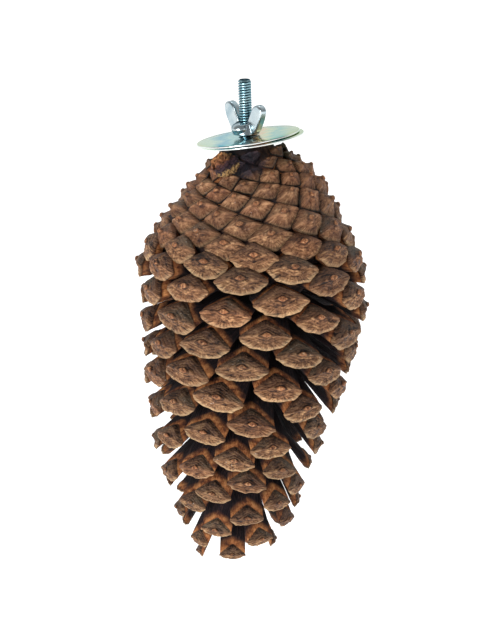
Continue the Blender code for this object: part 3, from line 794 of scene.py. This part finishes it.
def buildScales():
    wood = makeScaleWood(scaleWood)
    blanks = {True: modelScaleBlank(closedScale), False: modelScaleBlank(openScale)}
    scales = placeScales()
    for name, first, last in scaleGroups:
        members = []
        for scale in scales:
            if first <= scale["number"] <= last:
                closed = scale["number"] < growth["closedBelow"]
                members.append(addScale(blanks[closed], scale, closedScale if closed else openScale))
        piece = joinPieces(name, members)
        finishPiece(piece, name, wood, "cone", "cone_wood", "pine_cone", angle=60)
        print(name, len(piece.data.polygons), "faces")
    for blank in blanks.values():
        bpy.data.objects.remove(blank)


buildScales()


# Woody middle of the cone, with the crown under the washer
coreShape = {
    "segments": 48, "step": 4, "crownRadius": 14 * mm, "crown": (4 * mm, 1 * mm, 1 * mm), "lump": 0.09,
    "grain": 5 * mm, "wood": ((0.38, "#140d12"), (0.52, "#33211f"), (0.66, "#5a4033")), "roughness": 0.9,
}


def makeAxisWood(finish):
    # Inner wood of the cone: dark, dry and fibrous
    material, tree, shader = newMaterial("coneAxisWood")
    objectAt = addNode(tree, "TexCoord").outputs["Object"]
    grain = addNode(tree, "TexNoise", inputs={"Vector": objectAt, "Scale": 1 / finish["grain"],
                                              "Detail": 6.0}).outputs["Fac"]
    color = addNode(tree, "ValToRGB", inputs={0: grain}, stops=finish["wood"]).outputs[0]
    bump = addNode(tree, "Bump", inputs={"Height": grain, "Strength": 0.6, "Distance": 1.5 * mm})
    fillSockets(tree, shader, {"Base Color": color, "Normal": bump.outputs[0],
                               "Roughness": finish["roughness"], "IOR": 1.45})
    return material


def evenAngles(segments):
    return 2 * math.pi * np.arange(segments) / segments


def levelRing(angles, radius, height):
    return np.stack([np.cos(angles) * radius, np.sin(angles) * radius, height + 0 * angles], axis=1)


def buildCore(shape):
    numbers = list(range(0, growth["last"], shape["step"]))
    obj, ring, segment = ballRings("cone_axis", shape["segments"], len(numbers) + 1)
    angles = evenAngles(shape["segments"])
    draw = np.random.RandomState(3)
    points = [np.array(shape["crown"]) + levelRing(angles, 1, 0) * shape["crownRadius"]]
    for number in numbers:
        centre, level = ringFrame(number)[:2]
        # these angles start at +X, the growth angles at -Y
        full = np.array([fullness(number, angle + math.pi / 2) for angle in angles])
        wave = 1 + shape["lump"] * ringNoise(angles / (2 * math.pi), 12, draw)
        radius = (grown("coreRadius", number) * mm + full) * wave
        circle = np.array(level) * np.cos(angles)[:, None] + np.array((0, 1, 0)) * np.sin(angles)[:, None]
        points.append(np.array(centre) + circle * radius[:, None])
    points = np.array(points)
    points = pressUnderWasher(points.reshape(-1, 3)).reshape(points.shape)
    shapeBall(obj, ring, segment, points, points[0].mean(axis=0), points[-1].mean(axis=0))
    finishPiece(obj, "cone_axis", makeAxisWood(shape), "cone", "cone_wood", "pine_cone")


# Cut stub of the stem, beside the stud
stubShape = {
    "start": (-4.0, -10.0, -17.0), "end": (-14.0, -16.5, -7.5), "arch": 1.5,     # in mm, as the radii are
    "radii": (7.0, 7.3, 7.1, 6.0, 6.3, 5.9, 4.9, 5.1, 4.4), "segments": 64, "steps": 26,
    "cutRings": (0.25, 0.5, 0.75, 0.94),    # on the cut face, from its middle out
    "cutHollow": 1.2 * mm,
    "knobs": (1.3 * mm, 9, 11),             # height, and how many round the cut face and round the stub
    "waves": ((0.05, 14), (0.04, 6)),       # share of the radius, and how many round the stub
    "bandsAcross": (-0.55, 0.0, 0.83),      # the way that the cut end's coloured bands follow one another
    "bandsFrom": -11 * mm, "bandsTo": 3.5 * mm,
    "bands": ((0.28, "#100b10"), (0.36, "#221619"), (0.42, "#84653f"), (0.50, "#a5814f"), (0.57, "#2a1a24"),
              (0.70, "#452c33"), (0.79, "#7a482c"), (0.93, "#b67a4a")),
    "grain": 2.2 * mm, "pits": 0.9 * mm, "roughness": 0.8,
}


def makeStemWood(finish):
    # Cut stem: rough orange-brown end grain, a purple-black resin band, a golden ledge, and black
    # resin at its foot
    material, tree, shader = newMaterial("cutPineStem")
    objectAt = addNode(tree, "TexCoord").outputs["Object"]
    height = addNode(tree, "VectorMath", {"operation": "DOT_PRODUCT"},
                     {0: objectAt, 1: finish["bandsAcross"]}).outputs[1]
    level = addNode(tree, "MapRange", inputs={0: height, 1: finish["bandsFrom"], 2: finish["bandsTo"],
                                              3: -0.07, 4: 0.73}).outputs[0]
    grain = addNode(tree, "TexNoise", inputs={"Vector": objectAt, "Scale": 1 / finish["grain"], "Detail": 6.0,
                                              "Roughness": 0.7}).outputs["Fac"]
    shifted = addNode(tree, "Math", multiplyAdd, {0: grain, 1: 0.50, 2: level}).outputs[0]
    color = addNode(tree, "ValToRGB", inputs={0: shifted}, stops=finish["bands"]).outputs[0]
    pits = addNode(tree, "TexNoise", inputs={"Vector": objectAt, "Scale": 1 / finish["pits"],
                                             "Detail": 3.0}).outputs["Fac"]
    color = layOver(tree, color, (pits, 0.52, 0.36, 0.8, (), "MULTIPLY", "#4a2c22"))
    bump = addNode(tree, "Bump", inputs={"Height": grain, "Strength": 0.9, "Distance": 1.2 * mm})
    fillSockets(tree, shader, {"Base Color": color, "Normal": bump.outputs[0],
                               "Roughness": finish["roughness"], "IOR": 1.45})
    return material


def buildStub(shape):
    start, end = np.array(shape["start"]) * mm, np.array(shape["end"]) * mm
    way = (end - start) / np.linalg.norm(end - start)
    side = np.cross(way, (0, 0, 1))
    side /= np.linalg.norm(side)
    rise = np.cross(side, way)
    angles = evenAngles(shape["segments"])
    part = angles / (2 * math.pi)
    draw = np.random.RandomState(5)
    knobHeight, cutKnobs, sideKnobs = shape["knobs"]
    rings = []
    circle = side * np.cos(angles)[:, None] + rise * np.sin(angles)[:, None]
    for share in shape["cutRings"]:
        rough = ringNoise(part, cutKnobs, draw)[:, None] * knobHeight
        rings.append(end + way * (rough - shape["cutHollow"] * share ** 3)
                     + circle * shape["radii"][-1] * mm * share)
    for i in range(shape["steps"]):
        share = 1 - i / (shape["steps"] - 1)
        radius = np.interp(share, np.linspace(0, 1, len(shape["radii"])), shape["radii"]) * mm
        wave = 1 + sum(size * ringNoise(part, count, draw) for size, count in shape["waves"])
        arch = shape["arch"] * mm * 4 * share * (1 - share)
        centre = start + (end - start) * share + np.array((0, 0, arch))
        knob = knobHeight * ringNoise(part, sideKnobs, draw)
        rings.append(centre + circle * (radius * wave + knob)[:, None])
    obj, ring, segment = ballRings("stem_stub", shape["segments"], len(rings))
    shapeBall(obj, ring, segment, np.array(rings), end, start)
    finishPiece(obj, "stem_stub", makeStemWood(shape), "cone", "cone_wood", "pine_cone")


buildCore(coreShape)
buildStub(stubShape)
print("cone is built")


# Zinc-plated steel fixing
stud = {
    "radius": 3.17 * mm, "top": 29.5 * mm, "pitch": 1.27 * mm, "depth": 0.75 * mm, "threadStart": 1.5 * mm,
    "crestFrom": 0.40,              # share of the pitch's wave that stays flat, as the crest
    "chamfer": 0.8 * mm, "lagLength": 25 * mm, "lagPitch": 2.6 * mm, "lagDepth": 0.9 * mm,
    "lagTop": -3.75 * mm, "lagPoint": 6 * mm, "pointWidth": 0.12, "segments": 40,
    "rowsPerPitch": 8, "lagRowsPerPitch": 10,
}

# its plating: what every piece shares, and then the finish of each form
zincPlate = {
    "rootRadius": (3.05 * mm, 2.5 * mm), "rootShade": "#3c5660", "bareRim": "#e2e6e4", "grain": 0.5 * mm,
    "thread": {
        "name": "zincPlatedThread", "edgeTint": "#4a6a76", "roughness": (0.22, 0.34),
        "tintSize": 9 * mm, "brushed": 0.3, "across": 0.0,
        "tints": ((0.3, "#79a4b0"), (0.5, "#96bbc6"), (0.7, "#afcacc")),
    },
    "sheet": {
        "name": "zincPlatedSheet", "edgeTint": "#dde7e4", "roughness": (0.10, 0.18),
        "tintSize": 9 * mm, "brushed": 0.12, "across": 25.4 * mm,
        "tints": ((0.02, "#e2e6c0"), (0.16, "#cfe6d2"), (0.28, "#46aece"), (0.38, "#a6d6d2"),
                  (0.50, "#6cb6cc"), (0.62, "#f6c490"), (0.70, "#d9dcae"), (0.82, "#84c4be"),
                  (0.96, "#c8d4ac")),
    },
    "casting": {
        "name": "zincPlatedCasting", "edgeTint": "#6d7f88", "roughness": (0.14, 0.28),
        "tintSize": 12 * mm, "brushed": 0.4, "across": 0.0,
        "tints": ((0.3, "#a9bcc4"), (0.6, "#ccd6d9"), (0.8, "#dfe4e4")),
    },
}


def makeZinc(finish):
    # Bright zinc plate with a clear blue passivation: thin-film tints on a hard metal gloss
    material, tree, shader = newMaterial(finish["name"])
    objectAt = addNode(tree, "TexCoord").outputs["Object"]
    place = addNode(tree, "SeparateXYZ", inputs={0: objectAt}).outputs
    tint = addNode(tree, "TexNoise", inputs={
        "Vector": objectAt, "Scale": 1 / finish["tintSize"], "Detail": 2.0, "Roughness": 0.45,
        "Distortion": 0.8}).outputs["Fac"]
    if finish["across"]:
        # the film's tints change from side to side, and the noise makes their edges wander
        side = addNode(tree, "MapRange", inputs={0: place[0], 1: -finish["across"], 2: finish["across"],
                                                 3: -0.15, 4: 0.85}).outputs[0]
        tint = addNode(tree, "Math", multiplyAdd, {0: tint, 1: 0.30, 2: side}).outputs[0]
    color = addNode(tree, "ValToRGB", inputs={0: tint}, stops=finish["tints"]).outputs[0]
    # dirt and shade in the thread's roots, and bare zinc on a rim
    flat = addNode(tree, "CombineXYZ", inputs={0: place[0], 1: place[1]}).outputs[0]
    radius = addNode(tree, "VectorMath", {"operation": "LENGTH"}, {0: flat}).outputs[1]
    crest, root = zincPlate["rootRadius"]
    inRoot = addNode(tree, "MapRange", inputs={0: radius, 1: crest, 2: root, 3: 0.0, 4: 0.85}).outputs[0]
    color = addNode(tree, "Mix", {"data_type": "RGBA", "blend_type": "MULTIPLY"},
                    {0: inRoot, 6: color, 7: linearColor(zincPlate["rootShade"])}).outputs[2]
    rim = addNode(tree, "Attribute", {"attribute_name": "rimMark"}).outputs["Fac"]
    color = addNode(tree, "Mix", colorMix,
                    {0: rim, 6: color, 7: linearColor(zincPlate["bareRim"])}).outputs[2]
    grain = addNode(tree, "TexNoise", inputs={"Vector": objectAt, "Scale": 1 / zincPlate["grain"],
                                              "Detail": 3.0}).outputs["Fac"]
    low, high = finish["roughness"]
    rough = addNode(tree, "MapRange", inputs={0: grain, 1: 0.3, 2: 0.7, 3: low, 4: high}).outputs[0]
    bump = addNode(tree, "Bump", inputs={"Height": grain, "Strength": finish["brushed"],
                                         "Distance": 0.06 * mm})
    fillSockets(tree, shader, {"Base Color": color, "Roughness": rough, "Normal": bump.outputs[0],
                               "Metallic": 1.0, "Specular Tint": linearColor(finish["edgeTint"])})
    return material


def triangleWave(phase):
    return 1 - np.abs(2 * (phase % 1.0) - 1)


def studRadius(height, angles, shape):
    part = angles / (2 * math.pi)
    if height > shape["threadStart"]:
        wave = triangleWave(height / shape["pitch"] - part)
        cut = smoothStep(shape["crestFrom"], 1.0, wave) * shape["depth"]
        chamfer = max(0, height - (shape["top"] - shape["chamfer"]))
        return np.minimum(shape["radius"] - cut, shape["radius"] - chamfer)
    if height > shape["lagTop"]:
        return shape["radius"] - shape["depth"] / 2 + 0 * part
    cut = triangleWave(height / shape["lagPitch"] - part) * shape["lagDepth"]
    point = min(1, (height + shape["lagLength"]) / shape["lagPoint"] + shape["pointWidth"])
    return (shape["radius"] - cut) * point


def buildStud(shape, material):
    lagStep, step = shape["lagPitch"] / shape["lagRowsPerPitch"], shape["pitch"] / shape["rowsPerPitch"]
    heights = list(np.arange(-shape["lagLength"], shape["lagTop"], lagStep))
    heights += list(np.arange(shape["threadStart"], shape["top"], step))
    heights = [shape["top"]] + heights[::-1]
    angles = evenAngles(shape["segments"])
    rings = [levelRing(angles, studRadius(shape["top"], angles, shape) / 2, shape["top"])]
    rings += [levelRing(angles, studRadius(height, angles, shape), height) for height in heights]
    obj, ring, segment = ballRings("stud", shape["segments"], len(rings))
    shapeBall(obj, ring, segment, np.array(rings), (0, 0, shape["top"]), (0, 0, -shape["lagLength"]))
    finishPiece(obj, "threaded_stud", material, "cone", "zinc_plated_steel", "hanger_stud", angle=50)


washers = {
    "radius": 25.4 * mm, "edge": 0.40 * mm, "segments": 160, "edgeSteps": 6,
    "lower": {"hole": 6.5 * mm, "offset": 3.0 * mm, "base": -1.1 * mm},
    "upper": {"hole": 4.6 * mm, "offset": 1.1 * mm, "base": 0.3 * mm},
}


def buildWasher(name, shape, own, body, material, node):
    # the section is laid out beside the axis and spun round it
    thick, edge, outer, hole = washerSeat["thickness"], shape["edge"], shape["radius"], own["hole"]
    section = [(hole + edge / 2, 0), (hole, edge / 2), (hole, thick - edge / 2), (hole + edge / 2, thick)]
    section += [(hole + (outer - edge - hole) * share, thick) for share in (0.25, 0.5, 0.75)]
    for i in range(shape["edgeSteps"] + 1):
        turn = math.radians(90 - 180 * i / shape["edgeSteps"])
        section.append((outer - edge + math.cos(turn) * edge, thick / 2 + math.sin(turn) * thick / 2))
    section += [(hole + (outer - edge - hole) * share, 0) for share in (0.75, 0.5, 0.25)]
    deselectAll()
    bpy.ops.mesh.primitive_circle_add(vertices=len(section), radius=1)
    obj = bpy.context.object
    for vertex, (radius, height) in zip(obj.data.vertices, section):
        vertex.co = (radius, 0, height)
    bpy.ops.object.mode_set(mode="EDIT")
    bpy.ops.mesh.select_all(action="SELECT")
    bpy.ops.mesh.spin(steps=shape["segments"], angle=2 * math.pi, center=(0, 0, 0), axis=(0, 0, 1))
    bpy.ops.mesh.select_all(action="SELECT")
    bpy.ops.mesh.remove_doubles(threshold=0.005 * mm)
    bpy.ops.mesh.normals_make_consistent(inside=False)
    bpy.ops.object.mode_set(mode="OBJECT")
    layer = obj.data.attributes.new("rimMark", "FLOAT", "POINT")
    for vertex, mark in zip(obj.data.vertices, layer.data):
        mark.value = 1.0 if vertex.co.xy.length > outer - edge / 2 else 0.0
    obj.matrix_world = washerLean() @ Matrix.Translation((own["offset"], 0, own["base"]))
    finishPiece(obj, name, material, body, "zinc_plated_steel", node, angle=30)


nut = {
    "turn": -48.0, "baseRadius": 6.8 * mm, "topRadius": 5.0 * mm, "height": 5.8 * mm, "rounding": 0.8 * mm,
    "wingThickness": 4.1 * mm, "wingEdge": 0.9 * mm, "wingGrow": 0.5 * mm, "bore": 3.42 * mm,
    "wing": ((3.0, 1.7), (7.8, 1.9), (10.4, 5.4), (12.6, 10.6), (12.8, 13.0), (10.7, 14.7), (7.8, 13.8),
             (5.4, 10.0), (3.2, 5.2)),
    "bossOut": 3.6 * mm, "bossSize": (4.4 * mm, 4.5 * mm, 3.2 * mm), "bossHeight": 3.1 * mm,
    "voxel": 0.25 * mm, "smoothings": 3,    # how the parts fuse into one casting
}


def nutSeat():
    level = math.cos(math.radians(washerSeat["lean"])) * math.cos(math.radians(washerSeat["tipBack"]))
    top = washers["upper"]["base"] + washerSeat["thickness"]
    return top / level + math.tan(math.acos(level)) * nut["baseRadius"] + washerSeat["gap"]


def addWing(shape, side):
    # one wing's flat outline, thickened and rounded
    curve = bpy.data.curves.new("wing", "CURVE")
    curve.dimensions = "2D"
    curve.fill_mode = "BOTH"
    curve.resolution_u = 8
    curve.bevel_depth = shape["wingEdge"]
    curve.bevel_resolution = 4
    curve.extrude = shape["wingThickness"] / 2 - shape["wingEdge"]
    curve.offset = -shape["wingEdge"] + shape["wingGrow"]
    spline = curve.splines.new("BEZIER")
    spline.bezier_points.add(len(shape["wing"]) - 1)
    for knot, (reach, height) in zip(spline.bezier_points, shape["wing"]):
        knot.co = (reach * mm, height * mm, 0)
        knot.handle_left_type = knot.handle_right_type = "AUTO"
    spline.use_cyclic_u = True
    wing = bpy.data.objects.new("wing", curve)
    bpy.context.scene.collection.objects.link(wing)
    wing.matrix_world = (Matrix.Rotation(math.radians(shape["turn"] + 180 * side), 4, "Z")
                         @ Matrix.Rotation(math.pi / 2, 4, "X"))
    pick(wing)
    bpy.ops.object.convert(target="MESH")
    return bpy.context.object


def buildNut(shape, material):
    # hub, two wings and the rounded bosses between them, fused into one cast body
    deselectAll()
    bpy.ops.mesh.primitive_cone_add(vertices=64, radius1=shape["baseRadius"], radius2=shape["topRadius"],
                                    depth=shape["height"], location=(0, 0, shape["height"] / 2))
    hub = bpy.context.object
    applyModifier(hub, "BEVEL", width=shape["rounding"], segments=3, limit_method="ANGLE")
    parts = [hub]
    for side in (0, 1):
        parts.append(addWing(shape, side))
        turn = math.radians(shape["turn"] - 90 + 180 * side)
        deselectAll()
        place = (math.cos(turn) * shape["bossOut"], math.sin(turn) * shape["bossOut"], shape["bossHeight"])
        bpy.ops.mesh.primitive_uv_sphere_add(segments=32, ring_count=20, radius=1, location=place,
                                             rotation=(0, 0, turn), scale=shape["bossSize"])
        parts.append(bpy.context.object)
    pick(*parts)
    bpy.ops.object.transform_apply(location=True, rotation=True, scale=True)
    body = joinPieces("nut", parts)
    body.data.remesh_voxel_size = shape["voxel"]
    pick(body)
    bpy.ops.object.voxel_remesh()
    applyModifier(body, "SMOOTH", factor=0.5, iterations=shape["smoothings"])
    # cut the bore through it, and its foot flat
    deselectAll()
    bpy.ops.mesh.primitive_cylinder_add(vertices=64, radius=shape["bore"], depth=60 * mm)
    bore = bpy.context.object
    deselectAll()
    bpy.ops.mesh.primitive_cube_add(size=1, location=(0, 0, -20 * mm), scale=(60 * mm, 60 * mm, 40 * mm))
    under = bpy.context.object
    for cutter in (bore, under):
        applyModifier(body, "BOOLEAN", operation="DIFFERENCE", solver="EXACT", object=cutter)
        bpy.data.objects.remove(cutter)
    body.location.z = nutSeat()
    finishPiece(body, "cast_wing_nut", material, "nut", "zinc_plated_steel", "wing_nut")


def buildFixing():
    threadZinc, sheetZinc, castZinc = (makeZinc(zincPlate[form]) for form in ("thread", "sheet", "casting"))
    buildStud(stud, threadZinc)
    buildWasher("lower_plate_washer", washers, washers["lower"], "cone", sheetZinc, "lower_washer")
    buildWasher("upper_plate_washer", washers, washers["upper"], "washer", sheetZinc, "upper_washer")
    buildNut(nut, castZinc)


buildFixing()
print("fixing is built")
